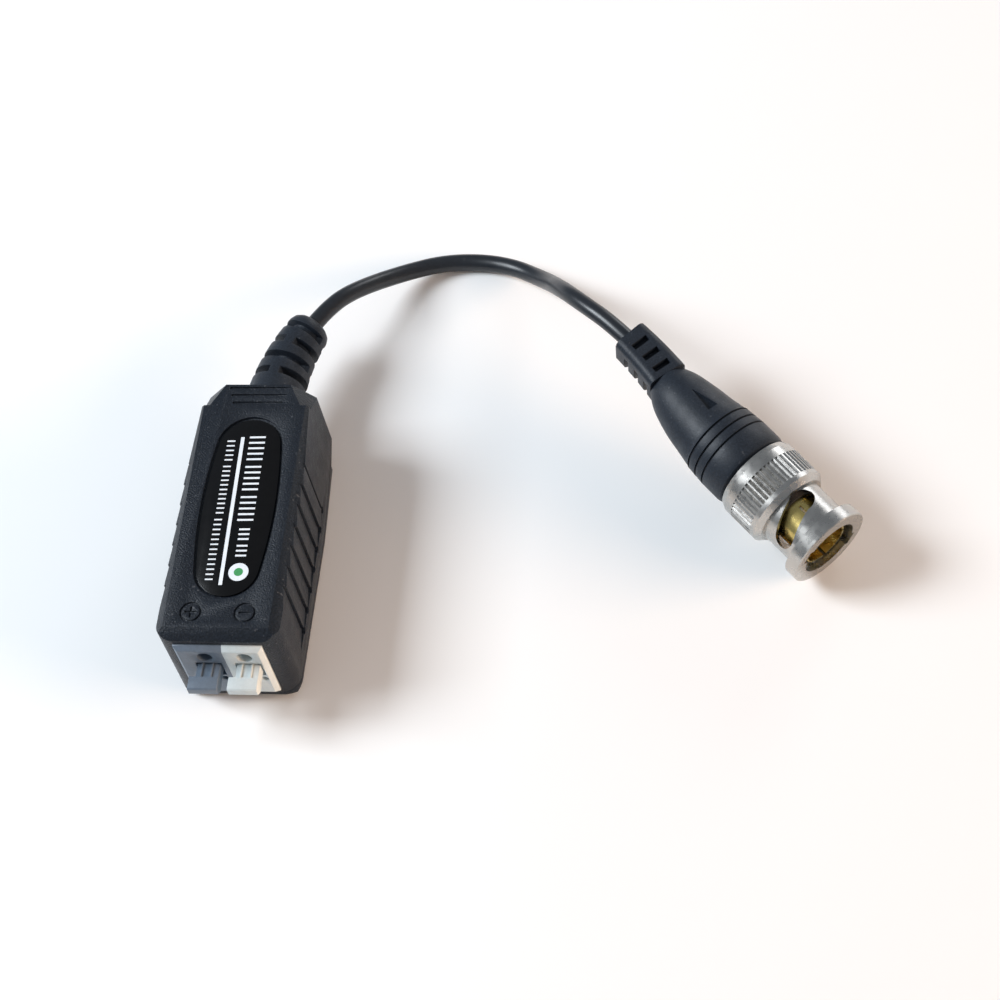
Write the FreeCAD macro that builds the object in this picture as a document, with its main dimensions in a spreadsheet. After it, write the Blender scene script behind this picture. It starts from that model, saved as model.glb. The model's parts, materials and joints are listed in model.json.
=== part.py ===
"""Video balun: a snap-together housing with two press-lever wire terminals,
a short coaxial lead and a bayonet plug. Millimetres, +Z up, with the origin
at the middle of the housing's underside and +Y towards the cable end."""
import FreeCAD
import Part
import Sketcher
import math
import os
import re

# Driving dimensions, one plain number each
SIZES = {
    # Housing
    "body_width": 19.7,
    "body_height": 19.6,
    "body_length": 46.7,
    "wall": 1.6,
    "edge_bevel": 1.42,
    "front_bevel": 1.8,
    "front_corner": 2.9,
    "taper_start": 28.0,
    "side_taper": 0.95,
    "shoulder_length": 4.0,
    "shoulder_inset": 2.1,
    "shoulder_drop": 2.3,
    "split_height": 2.3,
    "lip_height": 0.8,
    "lip_wall": 1.0,
    "fit_gap": 0.1,
    "press_gap": 0.02,
    # Sloping louvres on both sides
    "louvre_count": 7,
    "louvre_pitch": 3.74,
    "louvre_last": 32.0,
    "louvre_depth": 0.35,
    "louvre_foot": 4.97,
    "groove_width": 0.35,
    "groove_depth": 0.55,
    "dimple_radius": 0.6,
    # Label recess and label, rear lines and polarity marks
    "label_length": 32.6,
    "label_width": 11.6,
    "label_end_radius": 5.0,
    "label_centre": 23.65,
    "label_side": 0.3,
    "label_margin": 0.45,
    "label_recess": 0.45,
    "label_thickness": 0.3,
    "line_count": 3,
    "line_length": 9.2,
    "line_step": 0.9,
    "line_side": 0.4,
    "line_width": 0.4,
    "line_depth": 0.3,
    "line_pitch": 1.43,
    "line_first": 43.0,
    "mark_radius": 1.75,
    "mark_stroke": 0.32,
    "mark_depth": 0.25,
    "mark_arm": 0.95,
    "mark_spacing": 8.6,
    "mark_from_front": 4.42,
    # Wire terminals
    "terminal_half_width": 7.1,
    "terminal_bottom": 3.3,
    "terminal_drop": 2.4,
    "terminal_proud": 0.9,
    "terminal_bevel": 0.65,
    "terminal_depth": 11.0,
    "terminal_split": 0.7,
    "terminal_pitch": 6.35,
    "wire_hole_radius": 1.25,
    "wire_hole_depth": 3.5,
    "wire_drop": 4.8,
    "probe_radius": 0.6,
    "probe_drop": 6.45,
    "probe_side": 1.8,
    "chamber_width": 4.2,
    "chamber_foot_gap": 0.2,
    "chamber_drop": 3.2,
    "lever_width": 3.65,
    "lever_side_gap": 0.3,
    "lever_drop": 7.1,
    "lever_thickness": 2.2,
    "stem_length": 2.25,
    "head_depth": 2.25,
    "head_rise": 0.3,
    "head_overhang": 0.97,
    "head_bevel": 0.5,
    "lever_tail": 5.2,
    "pivot_from_front": 2.2,
    "pivot_drop": 8.3,
    "pivot_radius": 0.9,
    "pivot_gap": 0.08,
    "pivot_reach": 0.4,
    "slot_foot_drop": 10.25,
    "slot_drop": 6.5,
    "rib_width": 0.25,
    "rib_spacing": 1.6,
    "contact_thickness": 0.4,
    "contact_width": 3.0,
    "contact_drop": 6.4,
    "contact_post": 9.0,
    "spring_thickness": 0.3,
    "spring_width": 3.4,
    # Circuit board and what stands on it
    "board_margin": 1.05,
    "board_start": 12.0,
    "board_end": 39.5,
    "board_thickness": 1.2,
    "post_height": 4.4,
    "post_radius": 1.2,
    "peg_radius": 0.6,
    "peg_gap": 0.1,
    "peg_length": 1.0,
    "peg_inset": 1.6,
    "peg_first": 14.6,
    "peg_last": 37.6,
    "core_outer_radius": 5.7,
    "core_inner_radius": 3.0,
    "core_height": 4.2,
    "core_place": 25.4,
    "winding_wire": 0.45,
    "winding_turns": 7,
    "winding_step": 19.0,
    "winding_gap": 0.05,
    "surge_radius": 1.8,
    "surge_length": 6.4,
    "surge_place": 16.9,
    "cap_band": 0.9,
    "capacitor_width": 7.0,
    "capacitor_depth": 2.4,
    "capacitor_height": 5.0,
    "capacitor_side": -2.3,
    "capacitor_place": 34.2,
    "chip_length": 2.0,
    "chip_width": 1.25,
    "chip_height": 0.5,
    "chip_count": 3,
    "chip_pitch": 1.9,
    "chip_side": 4.4,
    "chip_place": 33.0,
    # Lead
    "cable_radius": 1.45,
    "cable_height": 9.8,
    "dielectric_radius": 0.75,
    "conductor_radius": 0.28,
    "braid_radius": 0.5,
    "lead_out": 3.33,
    "lead_in": 4.45,
    "solder_inset": 0.8,
    "jacket_stub": 2.4,
    "dielectric_stub": 1.6,
    # Strain relief of the housing
    "relief_flange_radius": 5.6,
    "relief_flange": 1.2,
    "relief_neck_radius": 4.2,
    "relief_base_radius": 5.15,
    "relief_tip_radius": 3.7,
    "relief_straight": 1.6,
    "relief_bend_radius": 35.8,
    "relief_bend": 28.6,
    "relief_dome": 1.6,
    "relief_first_slot": 6.9,
    "relief_slot_pitch": 3.25,
    "relief_slot_width": 1.35,
    "relief_slot_floor": 2.5,
    "relief_rib": 1.7,
    # Plug: place, and stations measured back from its mouth
    "plug_x": 91.94,
    "plug_y": 1.27,
    "plug_yaw": 134.7,
    "plug_tilt": -8.0,
    "flange_radius": 7.15,
    "flange_length": 2.3,
    "ring_bore_radius": 4.95,
    "ring_tube_radius": 5.72,
    "ring_shoulder": 8.7,
    "ring_web": 9.6,
    "ring_radius": 7.2,
    "ring_length": 17.2,
    "ring_room_radius": 6.0,
    "ring_rear_radius": 6.75,
    "knurl_start": 10.4,
    "knurl_end": 14.7,
    "knurl_count": 54,
    "knurl_depth": 0.28,
    "bayonet_radius": 1.8,
    "bayonet_station": 6.4,
    "bayonet_width": 3.3,
    "bayonet_run": 6.3,
    "bayonet_slant": 18.0,
    "bayonet_angle": 61.0,
    "entry_width": 2.5,
    "entry_depth": 0.6,
    "entry_angle": 30.0,
    "shaft_gap": 0.06,
    "barrel_radius": 4.6,
    "shoulder_radius": 5.6,
    "shoulder_front": 10.7,
    "shoulder_rear": 12.2,
    "body_front": 8.9,
    "boot_seat_radius": 4.2,
    "body_rear": 21.6,
    "spigot_radius": 2.3,
    "spigot_end": 30.0,
    "clip_front": 14.3,
    "clip_thickness": 0.8,
    "clip_groove": 0.35,
    "washer_thickness": 1.1,
    "gasket_length": 0.9,
    "sleeve_radius": 4.02,
    "sleeve_wall": 0.45,
    "sleeve_front": 0.9,
    "sleeve_end": 11.6,
    "sleeve_slot": 0.5,
    "sleeve_slot_end": 7.0,
    "insulator_front": 6.4,
    "insulator_end": 14.0,
    "pin_radius": 0.675,
    "pin_front": 1.5,
    "pin_shoulder_radius": 1.05,
    "pin_shoulder": 8.4,
    "pin_end": 19.0,
    "ferrule_radius": 2.85,
    "ferrule_start": 22.0,
    "boot_front": 17.5,
    "boot_radius": 6.85,
    "boot_groove_first": 21.8,
    "boot_groove_pitch": 1.72,
    "boot_groove_fall": 0.13,
    "boot_groove_width": 0.35,
    "boot_groove_depth": 0.35,
    "boot_bend_start": 25.8,
    "boot_bend": 7.0,
    "boot_waist_radius": 3.35,
    "boot_waist": 38.6,
    "boot_bore_end": 32.0,
    "arrow_length": 5.0,
    "arrow_width": 1.9,
    "arrow_station": 30.6,
    "arrow_depth": 0.45,
    "arrow_angle": 100.0,
    "tail_half_width": 3.35,
    "tail_end_half_width": 3.05,
    "tail_corner": 1.4,
    "tail_length": 9.8,
    "tail_bend": 8.0,
    "tail_slot_first": 1.7,
    "tail_slot_pitch": 2.7,
    "tail_slot_width": 1.1,
    "tail_slot_length": 3.0,
    "tail_slot_floor": 1.9,
    "tail_side_slot_top": 0.8,
}

# Inner points of the lead's route, in the model's frame
ROUTE = [
    (9.32, 49.54, 8.94),
    (15.57, 57.01, 3.71),
    (24.08, 61.53, 1.47),
    (33.94, 60.95, 1.47),
    (41.92, 55.5, 3.89),
    (46.54, 47.92, 11.45),
    (50.5, 43.44, 13.72),
]

doc = FreeCAD.newDocument("VideoBalun")
sheet = doc.addObject("Spreadsheet::Sheet", "Sizes")
for row, (alias, number) in enumerate(SIZES.items(), start=1):
    sheet.set("A%d" % row, alias)
    sheet.set("B%d" % row, str(number))
    sheet.setAlias("B%d" % row, alias)
doc.recompute()

X = FreeCAD.Vector(1, 0, 0)
Y = FreeCAD.Vector(0, 1, 0)
Z = FreeCAD.Vector(0, 0, 1)
ORIGIN = FreeCAD.Vector(0, 0, 0)
NODES = []

# Heights measured down from the housing's top, and widths kept by the board
DERIVED = {
    "terminal_top": "(body_height - terminal_drop)",
    "wire_height": "(body_height - wire_drop)",
    "chamber_bottom": "(wall + post_height + board_thickness - chamber_foot_gap)",
    "chamber_top": "(body_height - chamber_drop)",
    "lever_top": "(body_height - lever_drop)",
    "pivot_height": "(body_height - pivot_drop)",
    "slot_bottom": "(body_height - slot_foot_drop)",
    "slot_top": "(body_height - slot_drop)",
    "contact_height": "(body_height - contact_drop)",
    "board_width": "(body_width - 2 * wall - 2 * board_margin)",
    "peg_spacing": "(body_width - 2 * wall - 2 * board_margin - 2 * peg_inset)",
}


def size(alias):
    """One number of the sheet."""
    return float(sheet.get(alias))


def bound(text):
    """An expression on the sheet's cells, from one on their plain names."""
    def cell(word):
        name = word.group()
        if name in DERIVED:
            return bound(DERIVED[name])
        return "<<Sizes>>." + name if name in SIZES else name
    return re.sub(r"[a-z][a-z_]*", cell, text)


def worth(text):
    """What such an expression comes to, as a number."""
    return float(sheet.evalExpression(bound(text)))


def bind(item, **settings):
    """Tie properties of an object to the sheet."""
    for name, text in settings.items():
        item.setExpression(name.replace("__", "."), bound(text))
    return item


def keep(item, label):
    """Mark an object as a finished piece."""
    item.Label = label
    NODES.append(item)
    return item


# Placements along each plane: how a flat sketch is turned, and its normal
FLAT = {
    "XY": (FreeCAD.Rotation(), Z),
    "XZ": (FreeCAD.Rotation(X, 90), Y),
    "YZ": (FreeCAD.Rotation(FreeCAD.Vector(1, 1, 1), 120), X),
}


def trace(sketch, corners):
    """Draw a closed outline of straight edges with every corner bound."""
    places = [FreeCAD.Vector(worth(across), worth(up), 0) for across, up in corners]
    total = len(corners)
    for index in range(total):
        following = places[(index + 1) % total]
        sketch.addGeometry(Part.LineSegment(places[index], following))
    for index in range(total):
        sketch.addConstraint(Sketcher.Constraint("Coincident", index, 2, (index + 1) % total, 1))
    for index, corner in enumerate(corners):
        for kind, text, number in zip(("DistanceX", "DistanceY"), corner, places[index]):
            rule = sketch.addConstraint(Sketcher.Constraint(kind, -1, 1, index, 1, number))
            sketch.setExpression("Constraints[%d]" % rule, bound(text))
    return sketch


def prism(name, plane, corners, start, depth):
    """A straight prism over an outline, from start along the plane's normal."""
    turn, normal = FLAT[plane]
    sketch = doc.addObject("Sketcher::SketchObject", name + "_outline")
    sketch.Placement = FreeCAD.Placement(ORIGIN, turn)
    trace(sketch, corners)
    along = "xyz"[[normal.x, normal.y, normal.z].index(1)]
    sketch.setExpression("Placement.Base." + along, bound(start))
    solid = doc.addObject("Part::Extrusion", name)
    solid.Base = sketch
    solid.DirMode = "Custom"
    solid.Dir = normal
    solid.Solid = True
    solid.setExpression("LengthFwd", bound(depth))
    return solid


def box(name, low, spans):
    """A box from its low corner and its three spans."""
    solid = doc.addObject("Part::Box", name)
    for prop, text in zip(("Length", "Width", "Height"), spans):
        solid.setExpression(prop, bound(text))
    for axis, text in zip("xyz", low):
        solid.setExpression("Placement.Base." + axis, bound(text))
    return solid


def rod(name, radius, length, low, axis="z"):
    """A cylinder from the middle of its first end, along one axis."""
    solid = doc.addObject("Part::Cylinder", name)
    turn = {"x": FreeCAD.Rotation(Y, 90), "y": FreeCAD.Rotation(X, -90), "z": FreeCAD.Rotation()}
    solid.Placement = FreeCAD.Placement(ORIGIN, turn[axis])
    bind(solid, Radius=radius, Height=length)
    for letter, text in zip("xyz", low):
        solid.setExpression("Placement.Base." + letter, bound(text))
    return solid


def fuse(name, items):
    """Several solids as one."""
    whole = doc.addObject("Part::MultiFuse", name)
    whole.Shapes = items
    whole.Refine = True
    return whole


def common(name, items):
    """What several solids share."""
    whole = doc.addObject("Part::MultiCommon", name)
    whole.Shapes = items
    return whole


def cut(name, base, tools):
    """A solid less one or more others."""
    result = doc.addObject("Part::Cut", name)
    result.Base = base
    result.Tool = tools[0] if len(tools) == 1 else fuse(name + "_tools", tools)
    return result


def turned(name, corners):
    """A turned piece: a half outline of radius and height, spun round its axis."""
    body = doc.addObject("PartDesign::Body", name)
    sketch = body.newObject("Sketcher::SketchObject", name + "_profile")
    plane = [item for item in body.Origin.OriginFeatures if item.Role == "XZ_Plane"][0]
    sketch.AttachmentSupport = [(plane, "")]
    sketch.MapMode = "FlatFace"
    trace(sketch, corners)
    spin = body.newObject("PartDesign::Revolution", name + "_turning")
    spin.Profile = sketch
    spin.ReferenceAxis = (sketch, ["V_Axis"])
    spin.Angle = 360
    return body


def shaped(name, shape, placement=None):
    """A piece whose form is worked out from the sheet's sizes."""
    item = doc.addObject("Part::Feature", name)
    item.Shape = shape
    if placement:
        item.Placement = placement
    return item


def oval(half_width, half_length, end_radius, height, depth):
    """A flat four-arc oval along Y, drawn at a height and given a depth."""
    gap = half_length - end_radius
    side_radius = (gap ** 2 + half_width ** 2 - end_radius ** 2) / (2 * (half_width - end_radius))
    side_centre = half_width - side_radius
    slope = math.atan2(gap, -side_centre)
    edge_x = end_radius * math.cos(slope)
    edge_y = gap + end_radius * math.sin(slope)

    def at(across, along):
        return FreeCAD.Vector(across, along, height)

    arcs = [
        Part.Arc(at(edge_x, edge_y), at(0, half_length), at(-edge_x, edge_y)),
        Part.Arc(at(-edge_x, edge_y), at(-half_width, 0), at(-edge_x, -edge_y)),
        Part.Arc(at(-edge_x, -edge_y), at(0, -half_length), at(edge_x, -edge_y)),
        Part.Arc(at(edge_x, -edge_y), at(half_width, 0), at(edge_x, edge_y)),
    ]
    face = Part.Face(Part.Wire([arc.toShape() for arc in arcs]))
    return face.extrude(FreeCAD.Vector(0, 0, depth))


def rounded_tube(points, radius):
    """A tube along straight runs with tangent arcs, and its arc radii."""
    share = 0.45
    edges = []
    radii = []
    here = points[0]
    for before, corner, after in zip(points, points[1:], points[2:]):
        back = (before - corner).normalize()
        ahead = (after - corner).normalize()
        half_turn = (math.pi - back.getAngle(ahead)) / 2
        trim = share * min((before - corner).Length, (after - corner).Length)
        bend = trim / math.tan(half_turn)
        start = corner + back * trim
        end = corner + ahead * trim
        inward = (back + ahead).normalize()
        middle = corner + inward * (bend / math.cos(half_turn) - bend)
        edges.append(Part.LineSegment(here, start).toShape())
        edges.append(Part.Arc(start, middle, end).toShape())
        radii.append(bend)
        here = end
    edges.append(Part.LineSegment(here, points[-1]).toShape())
    path = Part.Wire(edges)
    ring = Part.Wire(Part.makeCircle(radius, points[0], points[1] - points[0]))
    tube = path.makePipeShell([ring], True, False)
    return tube, path.Length, radii


FRONT = "-body_length / 2"
REAR = "body_length / 2"


def from_front(text):
    """A place along Y measured from the housing's front face."""
    return "-body_length / 2 + (" + text + ")"


# Housing: one outer form, parted into an upper shell and a bottom cover
def outer_form(name, inset):
    """The bevelled block of the housing, or its hollow when inset by the wall."""
    half = "(body_width / 2 - %s)" % inset
    low_y = from_front(inset)
    high_y = "%s - %s" % (REAR, inset)
    top = "(body_height - %s)" % inset
    plan = prism(name + "_plan", "XY", [
        ("-" + half, low_y), (half, low_y), (half, from_front("taper_start")),
        (half + " - side_taper", REAR + " - shoulder_length"), (half + " - side_taper", high_y),
        ("-%s + side_taper" % half, high_y), ("-%s + side_taper" % half, REAR + " - shoulder_length"),
        ("-" + half, from_front("taper_start"))], inset, top + " - " + inset)
    section = prism(name + "_section", "XZ", [
        ("-%s + edge_bevel" % half, inset), (half + " - edge_bevel", inset),
        (half, inset + " + edge_bevel"), (half, top + " - edge_bevel"),
        (half + " - edge_bevel", top), ("-%s + edge_bevel" % half, top),
        ("-" + half, top + " - edge_bevel"), ("-" + half, inset + " + edge_bevel")],
        low_y, "body_length - 2 * " + inset)
    side = prism(name + "_side", "YZ", [
        (low_y + " + front_bevel", inset), (high_y, inset), (high_y, top),
        (low_y + " + front_bevel", top), (low_y, top + " - edge_bevel"),
        (low_y, inset + " + edge_bevel")], "-" + half, "2 * " + half)
    return plan, section, side


def shoulder_cutter(side, top):
    """The wedge that takes one rear corner down to a sloping facet."""
    across = "%d * " % side
    level = "body_height" if top else "0"
    inward = "-" if top else "+"
    outward = "+" if top else "-"
    half = "(body_width / 2 - side_taper)"
    name = "shoulder_%s_%s" % ("right" if side > 0 else "left", "top" if top else "bottom")
    sections = []
    for tag, place, extra_in, extra_down in (
            ("near", REAR + " - shoulder_length", "0", "0"),
            ("far", REAR, "shoulder_inset", "shoulder_drop")):
        sketch = doc.addObject("Sketcher::SketchObject", "%s_%s" % (name, tag))
        sketch.Placement = FreeCAD.Placement(ORIGIN, FLAT["XZ"][0])
        facet_in = "%s(%s - edge_bevel - %s)" % (across, half, extra_in)
        facet_down = "%s %s edge_bevel %s %s" % (level, inward, inward, extra_down)
        trace(sketch, [
            (facet_in, level), (across + half, facet_down),
            ("%s(%s + 1)" % (across, half), facet_down),
            ("%s(%s + 1)" % (across, half), "%s %s 1" % (level, outward)),
            (facet_in, "%s %s 1" % (level, outward))])
        sketch.setExpression("Placement.Base.y", bound(place))
        sections.append(sketch)
    loft = doc.addObject("Part::Loft", name)
    loft.Sections = sections
    loft.Solid = True
    loft.Ruled = True
    return loft


def louvre_cutters():
    """Sawtooth steps, the thin groove at each, and its round foot, on both sides."""
    shapes = []
    half = size("body_width") / 2
    front = -size("body_length") / 2
    foot = size("louvre_foot")
    rise = size("body_height") - foot + 1
    depth = size("louvre_depth")
    width = size("groove_width")
    for turn in range(int(size("louvre_count"))):
        place = front + size("louvre_last") - turn * size("louvre_pitch")
        for side in (-1, 1):
            corners = [
                FreeCAD.Vector(side * (half + 1), place, foot),
                FreeCAD.Vector(side * (half - depth), place, foot),
                FreeCAD.Vector(side * half, place - size("louvre_pitch"), foot),
                FreeCAD.Vector(side * (half + 1), place - size("louvre_pitch"), foot),
            ]
            step = Part.Face(Part.makePolygon(corners + corners[:1])).extrude(Z * rise)
            slot = Part.makeBox(size("groove_depth") + 1, width, rise)
            slot.translate(FreeCAD.Vector(half - size("groove_depth") if side > 0 else -half - 1,
                                          place - width / 2, foot))
            dimple = Part.makeCylinder(size("dimple_radius"), size("groove_depth") + 1,
                                       FreeCAD.Vector(side * (half - size("groove_depth")), place, foot),
                                       X * side)
            shapes += [step, slot, dimple]
    return shaped("louvre_cutters", shapes[0].fuse(shapes[1:]))


def marks():
    """Engraved polarity rings with a plus and a minus, and the rear lines."""
    shapes = []
    top = size("body_height")
    depth = size("mark_depth")
    stroke = size("mark_stroke")
    arm = size("mark_arm")
    front = -size("body_length") / 2
    for side, strokes in ((-1, 2), (1, 1)):
        centre = FreeCAD.Vector(side * size("mark_spacing") / 2, front + size("mark_from_front"), top - depth)
        outer = Part.makeCylinder(size("mark_radius"), depth + 1, centre)
        inner = Part.makeCylinder(size("mark_radius") - stroke, depth + 1, centre)
        shapes.append(outer.cut(inner))
        for turn in range(strokes):
            bar = Part.makeBox(2 * arm, stroke, depth + 1, FreeCAD.Vector(-arm, -stroke / 2, 0))
            bar.rotate(ORIGIN, Z, 90 * turn)
            bar.translate(centre)
            shapes.append(bar)
    for index in range(int(size("line_count"))):
        length = size("line_length") + (index - 1) * size("line_step")
        line = Part.makeBox(length, size("line_width"), size("line_depth") + 1)
        along = front + size("line_first") + index * size("line_pitch")
        line.translate(FreeCAD.Vector(size("line_side") - length / 2, along, top - size("line_depth")))
        shapes.append(line)
    return shaped("mark_cutters", Part.makeCompound(shapes))


def label_shape(margin, height, depth):
    """The label's outline, wider by a margin, as a flat plate."""
    plate = oval(size("label_width") / 2 + margin, size("label_length") / 2 + margin,
                 size("label_end_radius") + margin, height, depth)
    plate.translate(FreeCAD.Vector(size("label_side"), size("label_centre") - size("body_length") / 2, 0))
    return plate


def opening_corners(gap):
    """The terminal block's outline in the front face, wider by a gap."""
    half = "(terminal_half_width + %s)" % gap
    low = "(terminal_bottom - %s)" % gap
    high = "(terminal_top + %s)" % gap
    return [("-" + half, low), (half, low), (half, high), ("-" + half, high)]


def make_housing():
    """Upper shell, bottom cover and label plate."""
    plan, section, side = outer_form("outer", "0")
    rounded = doc.addObject("Part::Fillet", "outer_rounded")
    rounded.Base = plan
    doc.recompute()
    front = -size("body_length") / 2
    edges = []
    for index, edge in enumerate(plan.Shape.Edges, start=1):
        ends = [vertex.Point for vertex in edge.Vertexes]
        upright = abs(ends[0].z - ends[1].z) > size("wall")
        if upright and all(abs(point.y - front) < 1e-6 for point in ends):
            edges.append((index, size("front_corner"), size("front_corner")))
    rounded.Edges = edges
    block = common("outer_block", [rounded, section, side])
    corners = [shoulder_cutter(side_sign, top) for side_sign in (-1, 1) for top in (False, True)]
    block = cut("outer_faceted", block, corners)
    hollow = common("hollow", list(outer_form("hollow_form", "wall")))
    opening = prism("terminal_opening", "XZ", opening_corners("fit_gap"), FRONT + " - 1", "wall + 2")
    cable_way = rod("cable_way", "relief_neck_radius", "wall + 2",
                    ("0", REAR + " - wall - 1", "cable_height"), "y")
    low_half = box("cover_half", ("-body_width", "-body_length", "-1"),
                   ("2 * body_width", "2 * body_length", "split_height + 1"))
    high_half = box("shell_half", ("-body_width", "-body_length", "split_height"),
                    ("2 * body_width", "2 * body_length", "body_height"))
    recess = shaped("label_recess_cutter", label_shape(
        size("label_margin"), size("body_height") - size("label_recess"), size("label_recess") + 1))
    walls = cut("housing_walls", block, [hollow, opening, cable_way])
    upper = common("upper_half", [walls, high_half])
    keep(cut("upper_shell", upper, [louvre_cutters(), marks(), recess]), "upper_shell")

    tray = common("cover_tray", [walls, low_half])
    lip_half = "(body_width / 2 - edge_bevel - 2 * wall + split_height - fit_gap)"
    lip_end = REAR + " - wall - fit_gap"
    rail = prism("cover_rail", "XY", [
        ("-" + lip_half, from_front("terminal_depth")), (lip_half, from_front("terminal_depth")),
        (lip_half, from_front("taper_start")), (lip_half + " - side_taper", REAR + " - shoulder_length"),
        (lip_half + " - side_taper", lip_end), ("-%s + side_taper" % lip_half, lip_end),
        ("-%s + side_taper" % lip_half, REAR + " - shoulder_length"),
        ("-" + lip_half, from_front("taper_start"))], "wall - fit_gap",
        "split_height - wall + fit_gap + lip_height")
    rail_room = box("cover_rail_room", (
        "-%s + side_taper + lip_wall" % lip_half, from_front("terminal_depth - 1"), "wall - 1"), (
        "2 * (%s - side_taper - lip_wall)" % lip_half,
        "body_length - terminal_depth + 1 - wall - fit_gap - lip_wall", "body_height"))
    lip = cut("cover_lip", rail, [rail_room])
    posts = []
    for side_name, across in (("left", "-peg_spacing / 2"), ("right", "peg_spacing / 2")):
        for end_name, along in (("front", "peg_first"), ("rear", "peg_last")):
            tag = "%s_%s" % (side_name, end_name)
            posts.append(rod("post_" + tag, "post_radius", "post_height + fit_gap",
                             (across, from_front(along), "wall - fit_gap")))
            posts.append(rod("peg_" + tag, "peg_radius", "post_height + peg_length",
                             (across, from_front(along), "wall")))
    ledge = box("terminal_ledge",
                ("-terminal_half_width", from_front("wall + front_bevel"), "wall - fit_gap"),
                ("2 * terminal_half_width", "terminal_depth - wall - front_bevel - 1",
                 "terminal_bottom - wall + fit_gap"))
    keep(fuse("bottom_cover", [tray, lip, ledge] + posts), "bottom_cover")

    plate = label_shape(0, size("body_height") - size("label_recess"), size("label_thickness"))
    keep(shaped("label_plate", plate), "label_plate")


# Wire terminals: two moulded modules side by side, each with its own works
def terminal_hole(index):
    """Where a module's wire hole stands across the front."""
    return "(terminal_split + terminal_pitch * (%d + 0.5) - terminal_pitch + 0.1)" % index


def make_terminal(index, tone):
    """One terminal module with its lever, clamp spring and contact."""
    hole = terminal_hole(index)
    outer = "-terminal_half_width" if index == 0 else "terminal_half_width"
    low, high = (outer, "terminal_split") if index == 0 else ("terminal_split", outer)
    bevel_low = "terminal_bevel" if index == 0 else "0"
    bevel_high = "0" if index == 0 else "terminal_bevel"
    face = from_front("-terminal_proud")
    back = from_front("terminal_depth")
    plan = prism(tone + "_plan", "XY", [
        (low, back), (low, "%s + terminal_bevel" % face), ("%s + %s" % (low, bevel_low), face),
        ("%s - %s" % (high, bevel_high), face), (high, "%s + terminal_bevel" % face), (high, back)],
        "terminal_bottom", "terminal_top - terminal_bottom")
    side = prism(tone + "_side", "YZ", [
        (back, "terminal_bottom"), (back, "terminal_top"), (face + " + terminal_bevel", "terminal_top"),
        (face, "terminal_top - terminal_bevel"), (face, "terminal_bottom + terminal_bevel"),
        (face + " + terminal_bevel", "terminal_bottom")], low, "%s - (%s)" % (high, low))
    block = common(tone + "_block", [plan, side])
    lever_middle = hole + " + 0.15"
    slot_half = "(lever_width / 2 + lever_side_gap)"
    chamber = box(tone + "_chamber", (
        "%s - chamber_width / 2" % hole, from_front("wire_hole_depth"), "chamber_bottom"), (
        "chamber_width", "terminal_depth", "chamber_top - chamber_bottom"))
    slot = box(tone + "_lever_slot", (
        "%s - %s" % (lever_middle, slot_half), from_front("-terminal_proud - 1"), "slot_bottom"), (
        "2 * " + slot_half, "lever_tail + 1 + terminal_proud + 1", "slot_top - slot_bottom"))
    pivot_room = rod(tone + "_pivot_room", "pivot_radius + pivot_gap",
                     "2 * (%s + pivot_reach + pivot_gap)" % slot_half, (
                         "%s - %s - pivot_reach - pivot_gap" % (lever_middle, slot_half),
                         from_front("pivot_from_front"), "pivot_height"), "x")
    wire_hole = rod(tone + "_wire_hole", "wire_hole_radius", "terminal_proud + wire_hole_depth + 2",
                    (hole, from_front("-terminal_proud - 1"), "wire_height"), "y")
    probe_hole = rod(tone + "_probe_hole", "probe_radius", "terminal_proud + 2.5",
                     (hole + " + probe_side", from_front("-terminal_proud - 1"),
                      "wire_height - probe_drop"), "y")
    keep(cut("terminal_" + tone, block, [chamber, slot, pivot_room, wire_hole, probe_hole]),
         "terminal_" + tone)

    tip = from_front("-terminal_proud - stem_length - head_depth")
    step = from_front("-terminal_proud - stem_length")
    stem = prism(tone + "_stem", "YZ", [
        (step, "lever_top - lever_thickness"), (from_front("lever_tail"), "lever_top - lever_thickness"),
        (from_front("lever_tail"), "lever_top - 0.8"), (from_front("pivot_from_front + 1"), "lever_top"),
        (step, "lever_top")], "%s - lever_width / 2" % lever_middle, "lever_width")
    head = prism(tone + "_head", "YZ", [
        (tip, "lever_top - lever_thickness + 2 * head_bevel"),
        (tip + " + 2 * head_bevel", "lever_top - lever_thickness"),
        (step, "lever_top - lever_thickness"), (step, "lever_top + head_rise"),
        (tip + " + head_bevel / 2", "lever_top + head_rise"),
        (tip, "lever_top + head_rise - head_bevel / 2")],
        "%s - lever_width / 2 - head_overhang" % lever_middle, "lever_width + head_overhang + 0.1")
    trunnion = rod(tone + "_trunnion", "pivot_radius", "2 * (%s + pivot_reach)" % slot_half, (
        "%s - %s - pivot_reach" % (lever_middle, slot_half), from_front("pivot_from_front"),
        "pivot_height"), "x")
    ribs = [box("%s_rib_%d" % (tone, side), (
        "%s + %d * rib_spacing / 2 - 0.3" % (lever_middle, side), step, "lever_top - fit_gap"), (
        "rib_width", "stem_length + terminal_proud", "head_rise + fit_gap")) for side in (-1, 1)]
    keep(fuse("lever_" + tone, [stem, head, trunnion] + ribs), "lever_" + tone)

    board_top = "(wall + post_height + board_thickness)"
    post = from_front("contact_post")
    post_back = from_front("contact_post + contact_thickness")
    toe = from_front("board_start + 2")
    contact = prism("contact_bar_" + tone, "YZ", [
        (from_front("wire_hole_depth + 0.7"), "contact_height"), (post, "contact_height"),
        (post, board_top), (toe, board_top), (toe, board_top + " + contact_thickness"),
        (post_back, board_top + " + contact_thickness"),
        (post_back, "contact_height + contact_thickness"),
        (from_front("wire_hole_depth + 0.7"), "contact_height + contact_thickness")],
        "%s - contact_width / 2" % hole, "contact_width")
    keep(contact, "contact_bar_" + tone)

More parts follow.
